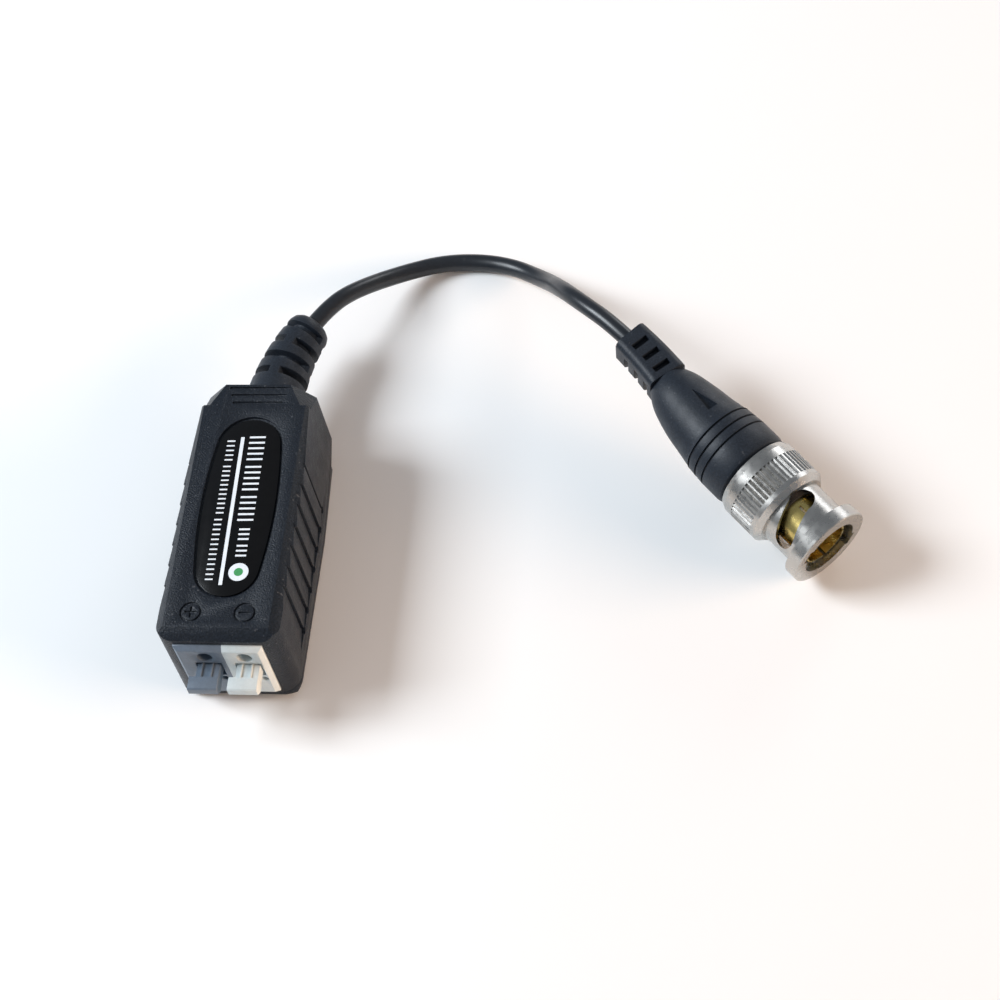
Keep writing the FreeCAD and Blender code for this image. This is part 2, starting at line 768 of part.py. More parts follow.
    leaf = "chamber_top - 0.2"
    nose = from_front("wire_hole_depth + 1.6")
    spring_back = from_front("contact_post + contact_thickness + spring_thickness")
    spring = prism("clamp_spring_" + tone, "YZ", [
        (post_back, "contact_height - 3"), (spring_back, "contact_height - 3"), (spring_back, leaf),
        (nose, leaf), (nose, leaf + " - spring_thickness"),
        (from_front("contact_post - 2.1"), "contact_height + contact_thickness + 0.1"),
        (from_front("contact_post - 1.7"), "contact_height + contact_thickness + 0.1"),
        (nose + " + 0.5", leaf + " - spring_thickness"),
        (post_back, leaf + " - spring_thickness")], "%s - spring_width / 2" % hole, "spring_width")
    keep(spring, "clamp_spring_" + tone)


# Circuit board and the parts soldered to it
BOARD_TOP = "(wall + post_height + board_thickness)"


def make_board():
    """The bare board, seated on the cover's posts."""
    slab = box("board_slab", ("-board_width / 2", from_front("board_start"), "wall + post_height"),
               ("board_width", "board_end - board_start", "board_thickness"))
    holes = [rod("peg_hole_%d_%d" % (side, last), "peg_radius + peg_gap", "board_thickness + 2", (
        "%d * peg_spacing / 2" % side, from_front("peg_last" if last else "peg_first"),
        "wall + post_height - 1")) for side in (-1, 1) for last in (0, 1)]
    keep(cut("circuit_board", slab, holes), "circuit_board")


def make_toroid():
    """The ring core and its two windings, one loop of wire to each turn."""
    centre = FreeCAD.Vector(0, size("core_place") - size("body_length") / 2, worth(BOARD_TOP))
    lift = "%s + winding_wire" % BOARD_TOP
    ring = rod("core_disc", "core_outer_radius", "core_height", ("0", from_front("core_place"), lift))
    eye = rod("core_eye", "core_inner_radius", "core_height + 2",
              ("0", from_front("core_place"), lift + " - 1"))
    keep(cut("toroid_core", ring, [eye]), "toroid_core")
    wire = size("winding_wire")
    inner = size("core_inner_radius") - size("winding_gap")
    outer = size("core_outer_radius") + size("winding_gap")
    height = size("core_height")
    turns = int(size("winding_turns"))
    for name, middle in (("winding_left", 180), ("winding_right", 0)):
        loops = []
        for turn in range(turns):
            loop = Part.makeBox(outer - inner + 2 * wire, wire, height + 2 * wire,
                                FreeCAD.Vector(inner - wire, -wire / 2, 0))
            room = Part.makeBox(outer - inner, 2 * wire, height, FreeCAD.Vector(inner, -wire, wire))
            loop = loop.cut(room)
            loop.rotate(ORIGIN, Z, middle + (turn - (turns - 1) / 2) * size("winding_step"))
            loop.translate(centre)
            loops.append(loop)
        keep(shaped(name, Part.makeCompound(loops)), name)


def make_components():
    """Surge arrester, capacitor and chip resistors."""
    keep(rod("surge_arrester", "surge_radius", "surge_length",
             ("-surge_length / 2", from_front("surge_place"), BOARD_TOP + " + surge_radius"), "x"),
         "surge_arrester")
    keep(box("film_capacitor", (
        "capacitor_side - capacitor_width / 2", from_front("capacitor_place - capacitor_depth / 2"),
        BOARD_TOP), ("capacitor_width", "capacitor_depth", "capacitor_height")), "film_capacitor")
    chips = [Part.makeBox(size("chip_length"), size("chip_width"), size("chip_height"), FreeCAD.Vector(
        size("chip_side") - size("chip_length") / 2,
        size("chip_place") - size("body_length") / 2 + index * size("chip_pitch"),
        worth(BOARD_TOP))) for index in range(int(size("chip_count")))]
    keep(shaped("chip_resistors", Part.makeCompound(chips)), "chip_resistors")


# Lead: stripped end in the housing, strain relief, free cable
def relief_frame(distance):
    """Where the relief's middle line stands, and its heading, a distance from the housing."""
    straight = size("relief_straight")
    radius = size("relief_bend_radius")
    turn = max(0.0, (distance - straight) / radius)
    across = radius * (1 - math.cos(turn))
    along = min(distance, straight) + radius * math.sin(turn)
    place = FreeCAD.Vector(across, size("body_length") / 2 + along, size("cable_height"))
    heading = FreeCAD.Vector(math.sin(turn), math.cos(turn), 0)
    return place, heading


def relief_length():
    """Length of the relief's middle line outside the housing."""
    return size("relief_straight") + size("relief_bend_radius") * math.radians(size("relief_bend"))


def slotted_ring(place, heading, floor, width, rib, ribs_upright):
    """The material taken out at one row of slots, all but the ribs left between them."""
    reach = 2 * size("relief_base_radius")
    start = place - heading * (width / 2)
    ring = Part.makeCylinder(reach, width, start, heading)
    ring = ring.cut(Part.makeCylinder(floor, width, start, heading))
    across = heading.cross(Z).normalize()
    axis = Z if ribs_upright else across
    other = across if ribs_upright else Z
    corner = start - axis * reach - other * (rib / 2)
    bar = Part.makeBox(rib, 2 * reach, width, ORIGIN)
    turn = FreeCAD.Matrix(other.x, axis.x, heading.x, corner.x,
                          other.y, axis.y, heading.y, corner.y,
                          other.z, axis.z, heading.z, corner.z)
    if other.cross(axis).dot(heading) < 0:
        turn = FreeCAD.Matrix(other.x, -axis.x, heading.x, corner.x + axis.x * 2 * reach,
                              other.y, -axis.y, heading.y, corner.y + axis.y * 2 * reach,
                              other.z, -axis.z, heading.z, corner.z + axis.z * 2 * reach)
    bar = bar.transformGeometry(turn)
    return ring.cut(bar)


def make_relief():
    """The bent, slotted strain relief, gripped by the housing's rear wall."""
    rear = size("body_length") / 2
    height = size("cable_height")
    wall = size("wall")
    flange = Part.makeCylinder(size("relief_flange_radius"), size("relief_flange"),
                               FreeCAD.Vector(0, rear - wall - size("relief_flange"), height), Y)
    neck = Part.makeCylinder(size("relief_neck_radius") - size("press_gap"), wall,
                             FreeCAD.Vector(0, rear - wall, height), Y)
    length = relief_length()
    dome = size("relief_dome")
    base = size("relief_base_radius")
    tip = size("relief_tip_radius")
    stations = [(length * share, 0.0) for share in (0, 0.25, 0.5, 0.75)] + [(length - dome, 0.0)]
    wires = []
    for distance, _ in stations:
        place, heading = relief_frame(distance)
        radius = base + (tip - base) * distance / (length - dome)
        wires.append(Part.Wire(Part.makeCircle(radius, place, heading)))
    cone = Part.makeLoft(wires, True, False)
    place, heading = relief_frame(length - dome)
    end_place, end_heading = relief_frame(length)
    crown = [(0.5, 0.87), (0.85, 0.6)]
    dome_wires = [Part.Wire(Part.makeCircle(tip, place, heading))]
    for along, share in crown:
        at, facing = relief_frame(length - dome + along * dome)
        dome_wires.append(Part.Wire(Part.makeCircle(
            size("cable_radius") + (tip - size("cable_radius")) * share, at, facing)))
    dome_wires.append(Part.Wire(Part.makeCircle(
        size("cable_radius") + 0.35 * (tip - size("cable_radius")), end_place, end_heading)))
    cap = Part.makeLoft(dome_wires, True, True)
    solid = flange.fuse([neck, cone, cap])
    for row in range(4):
        at, facing = relief_frame(size("relief_first_slot") + row * size("relief_slot_pitch"))
        solid = solid.cut(slotted_ring(at, facing, size("relief_slot_floor"), size("relief_slot_width"),
                                       size("relief_rib"), row % 2 == 0))
    keep(shaped("strain_relief", solid.removeSplitter()), "strain_relief")


def make_cable_end():
    """The stripped end of the lead inside the housing, soldered to the board."""
    start = REAR + " - wall - relief_flange"
    jacket = rod("jacket_stub_rod", "cable_radius", "jacket_stub",
                 ("0", start + " - jacket_stub", "cable_height"), "y")
    dielectric = rod("dielectric_rod", "dielectric_radius", "dielectric_stub + 0.5",
                     ("0", start + " - jacket_stub - dielectric_stub", "cable_height"), "y")
    keep(fuse("cable_end", [jacket, dielectric]), "cable_end")
    height = size("cable_height")
    board = worth(BOARD_TOP)
    face = worth(start + " - jacket_stub")
    core = face - size("dielectric_stub")
    pad = size("board_end") - size("solder_inset") - size("body_length") / 2
    wire = [FreeCAD.Vector(0, core, height), FreeCAD.Vector(0, pad, height), FreeCAD.Vector(0, pad, board)]
    keep(shaped("core_wire", rounded_tube(wire, size("conductor_radius"))[0]), "core_wire")
    braid_side = size("dielectric_radius") + size("braid_radius") + size("fit_gap")
    braid = [FreeCAD.Vector(braid_side, face, height), FreeCAD.Vector(braid_side, pad, height),
             FreeCAD.Vector(braid_side, pad, board)]
    keep(shaped("braid_tail", rounded_tube(braid, size("braid_radius"))[0]), "braid_tail")


# Plug: every piece is made along +Z, mouth at zero and the rest below it
PLUG_AT = ("placement(vector(plug_x; plug_y; flange_radius * cos(plug_tilt)); "
           "rotation(-plug_yaw; 0; plug_tilt - 90))")


def on_plug(item, label):
    """Seat a finished piece in the plug."""
    item.setExpression("Placement", bound(PLUG_AT))
    return keep(item, label)


def plug_placement():
    """The same seat as a plain placement, for pieces shaped in code."""
    return FreeCAD.Placement(
        FreeCAD.Vector(size("plug_x"), size("plug_y"),
                       size("flange_radius") * math.cos(math.radians(size("plug_tilt")))),
        FreeCAD.Rotation(-size("plug_yaw"), 0, size("plug_tilt") - 90))


def bayonet_cutters():
    """Two slanting slots with round ends, and the lug ways from the mouth."""
    shapes = []
    reach = size("ring_radius") + 2
    run = size("bayonet_run")
    width = size("bayonet_width")
    for half_turn in (0, 180):
        middle = -size("bayonet_angle") + half_turn
        slot = Part.makeBox(reach, run, width, FreeCAD.Vector(0, -run / 2, -width / 2))
        slot = slot.fuse(Part.makeCylinder(size("bayonet_radius"), reach, FreeCAD.Vector(0, -run / 2, 0), X))
        slot = slot.fuse(Part.makeCylinder(width / 2, reach, FreeCAD.Vector(0, run / 2, 0), X))
        slot.rotate(ORIGIN, X, size("bayonet_slant"))
        slot.translate(FreeCAD.Vector(0, 0, -(size("bayonet_station") + size("flange_length")
                                              + size("bayonet_width")) / 2))
        slot.rotate(ORIGIN, Z, middle)
        way_reach = size("ring_bore_radius") + size("entry_depth")
        way = Part.makeBox(way_reach, size("entry_width"), size("bayonet_station"),
                           FreeCAD.Vector(0, -size("entry_width") / 2, -size("bayonet_station") + 1))
        way.rotate(ORIGIN, Z, middle + size("entry_angle"))
        shapes += [slot, way]
    return shaped("bayonet_cutters", shapes[0].fuse(shapes[1:]))


def make_ring():
    """Knurled coupling ring with its bayonet slots, and the clip that holds it."""
    body = turned("ring_blank", [
        ("ring_bore_radius", "0"), ("flange_radius - 0.15", "0"), ("flange_radius", "-0.15"),
        ("flange_radius", "-flange_length"), ("ring_tube_radius", "-flange_length"),
        ("ring_tube_radius", "-ring_shoulder"), ("ring_radius - 0.9", "-ring_shoulder"),
        ("ring_radius", "-ring_shoulder - 0.9"), ("ring_radius", "-ring_length + 1"),
        ("ring_rear_radius", "-ring_length"), ("ring_room_radius", "-ring_length"),
        ("ring_room_radius", "-clip_front - clip_thickness - fit_gap"),
        ("ring_room_radius + clip_groove", "-clip_front - clip_thickness - fit_gap"),
        ("ring_room_radius + clip_groove", "-clip_front + fit_gap"),
        ("ring_room_radius", "-clip_front + fit_gap"), ("ring_room_radius", "-ring_web"),
        ("ring_bore_radius", "-ring_web")])
    notches = []
    count = int(size("knurl_count"))
    for index in range(count):
        notch = Part.makeBox(size("knurl_depth") * 2, size("knurl_depth") * 2,
                             size("knurl_end") - size("knurl_start"),
                             FreeCAD.Vector(-size("knurl_depth"), -size("knurl_depth"), -size("knurl_end")))
        notch.rotate(ORIGIN, Z, 45)
        notch.translate(FreeCAD.Vector(size("ring_radius") + 0.1, 0, 0))
        notch.rotate(ORIGIN, Z, index * 360 / count)
        notches.append(notch)
    knurl = shaped("knurl_cutters", Part.makeCompound(notches))
    on_plug(cut("coupling_ring", body, [bayonet_cutters(), knurl]), "coupling_ring")
    clip = turned("retaining_clip", [
        ("barrel_radius + fit_gap", "-clip_front"),
        ("ring_room_radius + clip_groove - fit_gap", "-clip_front"),
        ("ring_room_radius + clip_groove - fit_gap", "-clip_front - clip_thickness"),
        ("barrel_radius + fit_gap", "-clip_front - clip_thickness")])
    on_plug(clip, "retaining_clip")


def make_plug_core():
    """The turned body and what is pressed into it or stands on it."""
    on_plug(turned("plug_body", [
        ("sleeve_radius + press_gap", "-body_front"), ("ring_bore_radius - shaft_gap", "-body_front"),
        ("ring_bore_radius - shaft_gap", "-shoulder_front"), ("shoulder_radius", "-shoulder_front"),
        ("shoulder_radius", "-shoulder_rear"), ("barrel_radius", "-shoulder_rear"),
        ("barrel_radius", "-boot_front"), ("boot_seat_radius", "-boot_front"),
        ("boot_seat_radius", "-body_rear"), ("spigot_radius", "-body_rear"),
        ("spigot_radius", "-spigot_end"), ("dielectric_radius + fit_gap", "-spigot_end"),
        ("dielectric_radius + fit_gap", "-pin_end - fit_gap"),
        ("sleeve_radius - sleeve_wall", "-pin_end - fit_gap"),
        ("sleeve_radius - sleeve_wall", "-sleeve_end"),
        ("sleeve_radius + press_gap", "-sleeve_end")]), "plug_body")
    sleeve = turned("sleeve_blank", [
        ("sleeve_radius - sleeve_wall", "-sleeve_front"), ("sleeve_radius - 0.15", "-sleeve_front"),
        ("sleeve_radius", "-sleeve_front - 0.2"), ("sleeve_radius", "-sleeve_end"),
        ("sleeve_radius - sleeve_wall", "-sleeve_end")])
    slots = [box("sleeve_slot_%d" % turn, (
        "-sleeve_radius - 1" if turn == 0 else "-sleeve_slot / 2",
        "-sleeve_slot / 2" if turn == 0 else "-sleeve_radius - 1", "-sleeve_slot_end"), (
        "2 * sleeve_radius + 2" if turn == 0 else "sleeve_slot",
        "sleeve_slot" if turn == 0 else "2 * sleeve_radius + 2", "sleeve_slot_end")) for turn in (0, 1)]
    on_plug(cut("contact_sleeve", sleeve, slots), "contact_sleeve")
    on_plug(turned("insulator", [
        ("pin_shoulder_radius + 0.02", "-insulator_front"),
        ("sleeve_radius - sleeve_wall - 0.02", "-insulator_front"),
        ("sleeve_radius - sleeve_wall - 0.02", "-insulator_end"),
        ("pin_shoulder_radius + 0.02", "-insulator_end")]), "insulator")
    on_plug(turned("centre_pin", [
        ("0", "-pin_front"), ("pin_radius / 2", "-pin_front"), ("pin_radius", "-pin_front - 0.9"),
        ("pin_radius", "-pin_shoulder"), ("pin_shoulder_radius", "-pin_shoulder"),
        ("pin_shoulder_radius", "-pin_end"), ("0", "-pin_end")]), "centre_pin")
    on_plug(turned("gasket", [
        ("sleeve_radius + 0.05", "-body_front + gasket_length"),
        ("ring_bore_radius - fit_gap", "-body_front + gasket_length"),
        ("ring_bore_radius - fit_gap", "-body_front"), ("sleeve_radius + 0.05", "-body_front")]), "gasket")
    on_plug(turned("spring_washer", [
        ("barrel_radius + fit_gap", "-shoulder_rear"), ("shoulder_radius", "-shoulder_rear"),
        ("shoulder_radius", "-shoulder_rear - washer_thickness"),
        ("barrel_radius + fit_gap", "-shoulder_rear - washer_thickness")]), "spring_washer")
    on_plug(turned("crimp_ferrule", [
        ("spigot_radius", "-ferrule_start"), ("ferrule_radius", "-ferrule_start"),
        ("ferrule_radius", "-spigot_end"), ("spigot_radius", "-spigot_end")]), "crimp_ferrule")
    on_plug(turned("cable_plug_end", [
        ("0", "-pin_end"), ("dielectric_radius", "-pin_end"), ("dielectric_radius", "-spigot_end"),
        ("cable_radius", "-spigot_end"), ("cable_radius", "-boot_bore_end"), ("0", "-boot_bore_end")]),
        "cable_plug_end")


def boot_frame(station):
    """The boot's middle line in the plug's own axes: bent up to the waist, then back along the tail."""
    start = size("boot_bend_start")
    waist = size("boot_waist")
    radius = (waist - start) / math.radians(size("boot_bend"))
    turn = (min(station, waist) - start) / radius
    place = X * (radius * (math.cos(turn) - 1)) - Z * (start + radius * math.sin(turn))
    heading = X * -math.sin(turn) - Z * math.cos(turn)
    if station > waist:
        away = X * math.cos(turn) - Z * math.sin(turn)
        radius = size("tail_length") / math.radians(size("tail_bend"))
        back = (station - waist) / radius
        place = place + heading * (radius * math.sin(back)) + away * (radius * (1 - math.cos(back)))
        heading = heading * math.cos(back) + away * math.sin(back)
    return place, heading


def tail_frame(distance):
    """The same line, a distance past the waist."""
    return boot_frame(size("boot_waist") + distance)


def tail_axes(heading):
    """Two directions across the tail, square to its heading."""
    across = (X - heading * heading.dot(X)).normalize()
    return across, heading.cross(across)


def rounded_square(place, heading, half, corner):
    """A square with round corners, across a heading."""
    across, up = tail_axes(heading)
    flat = half - corner
    edges = []
    for turn in range(4):
        angle = math.radians(90 * turn)
        out = across * math.cos(angle) + up * math.sin(angle)
        along = up * math.cos(angle) - across * math.sin(angle)
        first = place + out * half - along * flat
        second = place + out * half + along * flat
        third = place + along * half + out * flat
        middle = place + (out + along) * (flat + corner * math.sqrt(0.5))
        edges.append(Part.LineSegment(first, second).toShape())
        edges.append(Part.Arc(second, middle, third).toShape())
    return Part.Wire(edges)


def boot_tail():
    """The bent tail of the boot: three rows of slots, those at its sides running out below."""
    length = size("tail_length")
    wires = []
    for share in (0, 0.25, 0.5, 0.75, 1):
        place, heading = tail_frame(length * share)
        half = size("tail_half_width") + (size("tail_end_half_width") - size("tail_half_width")) * share
        wires.append(rounded_square(place, heading, half, size("tail_corner")))
    solid = Part.makeLoft(wires, True, False)
    width = size("tail_slot_width")
    slot_length = size("tail_slot_length")
    depth = 2 * size("tail_half_width")
    centred = (-slot_length / 2, slot_length / 2)
    from_below = (-depth, size("tail_side_slot_top"))
    for row in range(3):
        place, heading = tail_frame(size("tail_slot_first") + row * size("tail_slot_pitch"))
        across, up = tail_axes(heading)
        for out, along, (low, high) in ((across, up, from_below), (up, across, centred),
                                        (across * -1, up, from_below), (up * -1, across, centred)):
            if along.cross(out).dot(heading) < 0:
                along = along * -1
                low, high = -high, -low
            slot = Part.makeBox(high - low, depth, width, FreeCAD.Vector(low, 0, -width / 2))
            base = place + out * size("tail_slot_floor")
            slot = slot.transformGeometry(FreeCAD.Matrix(
                along.x, out.x, heading.x, base.x, along.y, out.y, heading.y, base.y,
                along.z, out.z, heading.z, base.z))
            solid = solid.cut(slot)
    return solid


# Bell of the boot: share of the way from the bend's start to the waist, and share of the fall
BELL = ((0, 0.115), (0.094, 0.17), (0.211, 0.243), (0.328, 0.3), (0.484, 0.386), (0.64, 0.506),
        (0.758, 0.609), (0.844, 0.714), (0.922, 0.843), (1, 1))


def make_boot():
    """The moulded boot: collar, ring grooves, bent bell with an arrow mark, and tail."""
    fall = size("boot_radius") - size("boot_waist_radius")
    bell_start = size("boot_bend_start")
    grooves = []
    for index in range(3):
        start = "boot_groove_first + %d * boot_groove_pitch" % index
        radius = "boot_radius - %d * boot_groove_fall" % index
        grooves += [(radius, "-(%s)" % start), (radius + " - boot_groove_depth", "-(%s)" % start),
                    (radius + " - boot_groove_depth", "-(%s + boot_groove_width)" % start),
                    (radius, "-(%s + boot_groove_width)" % start)]
    collar = turned("boot_collar", [
        ("0", "-boot_front"), ("boot_radius - 0.6", "-boot_front"),
        ("boot_radius - 0.2", "-boot_front - 0.3"), ("boot_radius", "-boot_front - 1.0")]
        + grooves
        + [("boot_radius - (boot_radius - boot_waist_radius) * %s" % BELL[0][1], "-boot_bend_start"),
           ("0", "-boot_bend_start")])
    rings = []
    for along, share in BELL:
        place, heading = boot_frame(bell_start + along * (size("boot_waist") - bell_start))
        rings.append(Part.Wire(Part.makeCircle(size("boot_radius") - fall * share, place, heading)))
    bell = shaped("boot_bell", Part.makeLoft(rings, True, False))
    tail = shaped("boot_tail", boot_tail())
    bore = turned("boot_bore", [
        ("0", "-boot_front + 1"), ("boot_seat_radius + press_gap", "-boot_front + 1"),
        ("boot_seat_radius + press_gap", "-body_rear"), ("ferrule_radius + fit_gap", "-body_rear"),
        ("ferrule_radius + fit_gap", "-boot_bore_end"), ("0", "-boot_bore_end")])
    whole = fuse("boot_whole", [collar, bell, tail])
    half = size("arrow_width") / 2
    length = size("arrow_length")
    corners = [FreeCAD.Vector(0, -half, length / 2), FreeCAD.Vector(0, half, length / 2),
               FreeCAD.Vector(0, 0, -length / 2)]
    arrow = Part.Face(Part.makePolygon(corners + corners[:1])).extrude(X * size("boot_radius"))
    surface = size("boot_radius") - fall * 0.33
    arrow.translate(FreeCAD.Vector(surface - size("arrow_depth"), 0, -size("arrow_station")))
    arrow.rotate(ORIGIN, Z, -size("arrow_angle"))
    on_plug(cut("plug_boot", whole, [bore, shaped("arrow_cutter", arrow)]), "plug_boot")


def make_cable():
    """The free lead, from the strain relief's tip to the boot's tail."""
    start, heading = relief_frame(relief_length())
    place, tail_heading = tail_frame(size("tail_length"))
    end = plug_placement().multVec(place)
    tail_heading = plug_placement().Rotation.multVec(tail_heading)
    points = [start, start + heading * size("lead_out")]
    points += [FreeCAD.Vector(*point) for point in ROUTE]
    points += [end + tail_heading * size("lead_in"), end]
    tube, length, radii = rounded_tube(points, size("cable_radius"))
    section = math.pi * size("cable_radius") ** 2
    print("lead starts", [round(number, 2) for number in start], "heading", heading)
    print("lead ends", [round(number, 2) for number in end], "heading", tail_heading)
    print("points", [[round(number, 2) for number in point] for point in points])
    print("runs", [round((b - a).Length, 1) for a, b in zip(points, points[1:])])
    print("arc radii", [round(radius, 1) for radius in radii])
    print("length %.1f volume %.1f against %.1f" % (length, tube.Volume, section * length))
    keep(shaped("cable", tube), "cable")


make_housing()
make_terminal(0, "grey")
make_terminal(1, "white")
make_board()
make_toroid()
make_components()
make_relief()
make_cable_end()
make_ring()
make_plug_core()
make_boot()
make_cable()
doc.recompute()

for item in doc.Objects:
    if "Invalid" in item.State or "Error" in item.State:
        raise RuntimeError("%s did not build: %s" % (item.Name, item.State))
os.makedirs("parts", exist_ok=True)
for item in NODES:
    if item.Shape.isNull() or not item.Shape.isValid():
        raise RuntimeError("%s has no sound shape" % item.Label)
    item.Shape.exportStep("parts/%s.step" % item.Label)
    span = item.Shape.BoundBox
    print("%-22s solids %d volume %9.2f  x %.2f..%.2f y %.2f..%.2f z %.2f..%.2f" % (
        item.Label, len(item.Shape.Solids), item.Shape.Volume,
        span.XMin, span.XMax, span.YMin, span.YMax, span.ZMin, span.ZMax))
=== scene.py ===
"""Video balun with two press-lever terminals, a short lead and a bayonet plug."""

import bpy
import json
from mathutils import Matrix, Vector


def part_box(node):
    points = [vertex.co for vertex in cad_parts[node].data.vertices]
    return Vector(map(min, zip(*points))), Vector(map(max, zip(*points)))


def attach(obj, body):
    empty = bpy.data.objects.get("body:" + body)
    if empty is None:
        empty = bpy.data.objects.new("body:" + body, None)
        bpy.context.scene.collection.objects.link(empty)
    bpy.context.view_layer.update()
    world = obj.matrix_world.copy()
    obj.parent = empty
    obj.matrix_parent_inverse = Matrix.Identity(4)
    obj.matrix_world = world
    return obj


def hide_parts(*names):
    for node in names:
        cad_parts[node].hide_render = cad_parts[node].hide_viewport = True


bl_info = {
    "name": "Video Balun",
    "version": (1, 0, 0),
    "blender": (4, 5, 0),
    "location": "3D View > Sidebar > Balun",
    "description": "Dresses the video balun: housing, label, terminals, lead and bayonet plug",
    "category": "Object",
}

import json
import math

import bmesh
import bpy
from mathutils import Matrix, Vector

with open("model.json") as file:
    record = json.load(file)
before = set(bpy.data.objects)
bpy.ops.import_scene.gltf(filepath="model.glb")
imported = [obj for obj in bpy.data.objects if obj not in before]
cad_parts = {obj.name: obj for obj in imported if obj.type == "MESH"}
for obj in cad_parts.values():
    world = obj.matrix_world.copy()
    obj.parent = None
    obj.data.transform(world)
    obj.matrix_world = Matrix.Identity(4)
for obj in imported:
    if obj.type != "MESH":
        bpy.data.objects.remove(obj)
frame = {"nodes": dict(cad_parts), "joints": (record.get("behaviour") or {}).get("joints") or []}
MM = 0.001

# Colours that no user would change
# Light grey of the dust specks, which on the housing are partly real dust and partly painted glints on the
# grain
DUST_AND_GLINT_COLOUR = (0.35, 0.36, 0.38)
TIN = (0.72, 0.70, 0.66)
SPRING_STEEL = (0.58, 0.58, 0.59)
WASHER_STEEL = (0.56, 0.56, 0.57)
RESIN_WHITE = (0.78, 0.76, 0.70)
RUBBER = (0.030, 0.026, 0.022)
CLEAR_PLASTIC = (0.80, 0.80, 0.77)
LAMINATE_GREEN = (0.012, 0.09, 0.03)
FERRITE_GREY = (0.03, 0.03, 0.032)
ENAMEL_RED = (0.70, 0.27, 0.10)
CAPACITOR_RED = (0.45, 0.07, 0.02)
ARRESTER_WHITE = (0.5, 0.5, 0.45)
CHIP_BLACK = (0.02, 0.02, 0.02)
COPPER = (0.75, 0.38, 0.22)
SKY = (0.82, 0.90, 1.0)

# Distances and angles used in cleaning a copied mesh
SAME_POINT = 0.000002
FLAT_ENOUGH = 0.6


# Sizes and colours that a user may change
class HousingLook(bpy.types.PropertyGroup):
    edge: bpy.props.FloatProperty(
        name="Edge Rounding", description="Rounding of the moulded edges",
        default=0.00011, unit="LENGTH")
    colour: bpy.props.FloatVectorProperty(
        name="Housing Colour", description="Colour of the moulded housing",
        default=(0.0075, 0.0108, 0.0168), subtype="COLOR")
    grain: bpy.props.FloatProperty(
        name="Grain", description="Size of the fine moulded grain",
        default=0.00028, unit="LENGTH")
    grey: bpy.props.FloatVectorProperty(
        name="Grey Nylon", description="Colour of the grey terminal and lever",
        default=(0.120, 0.155, 0.200), subtype="COLOR")
    white: bpy.props.FloatVectorProperty(
        name="White Nylon", description="Colour of the white terminal and lever",
        default=(0.56, 0.61, 0.61), subtype="COLOR")


class LabelLook(bpy.types.PropertyGroup):
    field: bpy.props.FloatVectorProperty(
        name="Label Field", description="Colour of the label's gloss field",
        default=(0.0035, 0.0037, 0.0042), subtype="COLOR")
    print_colour: bpy.props.FloatVectorProperty(
        name="Print", description="Colour of the plain printed shapes",
        default=(0.78, 0.84, 0.90), subtype="COLOR")
    spot: bpy.props.FloatVectorProperty(
        name="Spot", description="Colour of the spot in the printed disc",
        default=(0.05, 0.30, 0.10), subtype="COLOR")
    film: bpy.props.FloatProperty(
        name="Print Thickness", description="Thickness of the printed film",
        default=0.00002, unit="LENGTH")
    print_turn: bpy.props.FloatProperty(
        name="Print Turn", description="How far the printed film lies turned on the label",
        default=0.0223, unit="ROTATION")


class LeadLook(bpy.types.PropertyGroup):
    diameter: bpy.props.FloatProperty(
        name="Lead Diameter", description="Outside diameter of the coaxial lead",
        default=0.0029, unit="LENGTH")
    length: bpy.props.FloatProperty(
        name="Lead Length", description="Free length between strain relief and boot",
        default=0.0781, unit="LENGTH")
    colour: bpy.props.FloatVectorProperty(
        name="Lead Colour", description="Colour of the lead's vinyl jacket",
        default=(0.013, 0.016, 0.021), subtype="COLOR")
    moulding: bpy.props.FloatVectorProperty(
        name="Moulding Colour", description="Colour of the soft strain relief and boot",
        default=(0.014, 0.0190, 0.0275), subtype="COLOR")


class PlugLook(bpy.types.PropertyGroup):
    nickel: bpy.props.FloatVectorProperty(
        name="Nickel", description="Colour of the nickel plate",
        default=(0.53, 0.51, 0.48), subtype="COLOR")
    gilt: bpy.props.FloatVectorProperty(
        name="Gilt", description="Colour of the gilt plate",
        default=(0.72, 0.56, 0.20), subtype="COLOR")


class StageLook(bpy.types.PropertyGroup):
    floor: bpy.props.FloatVectorProperty(
        name="Floor Colour", description="Colour of the plain floor",
        default=(0.92, 0.92, 0.91), subtype="COLOR")
    lens: bpy.props.FloatProperty(
        name="Lens", description="Focal length on a 36 mm sensor, in millimetres",
        default=97.25)


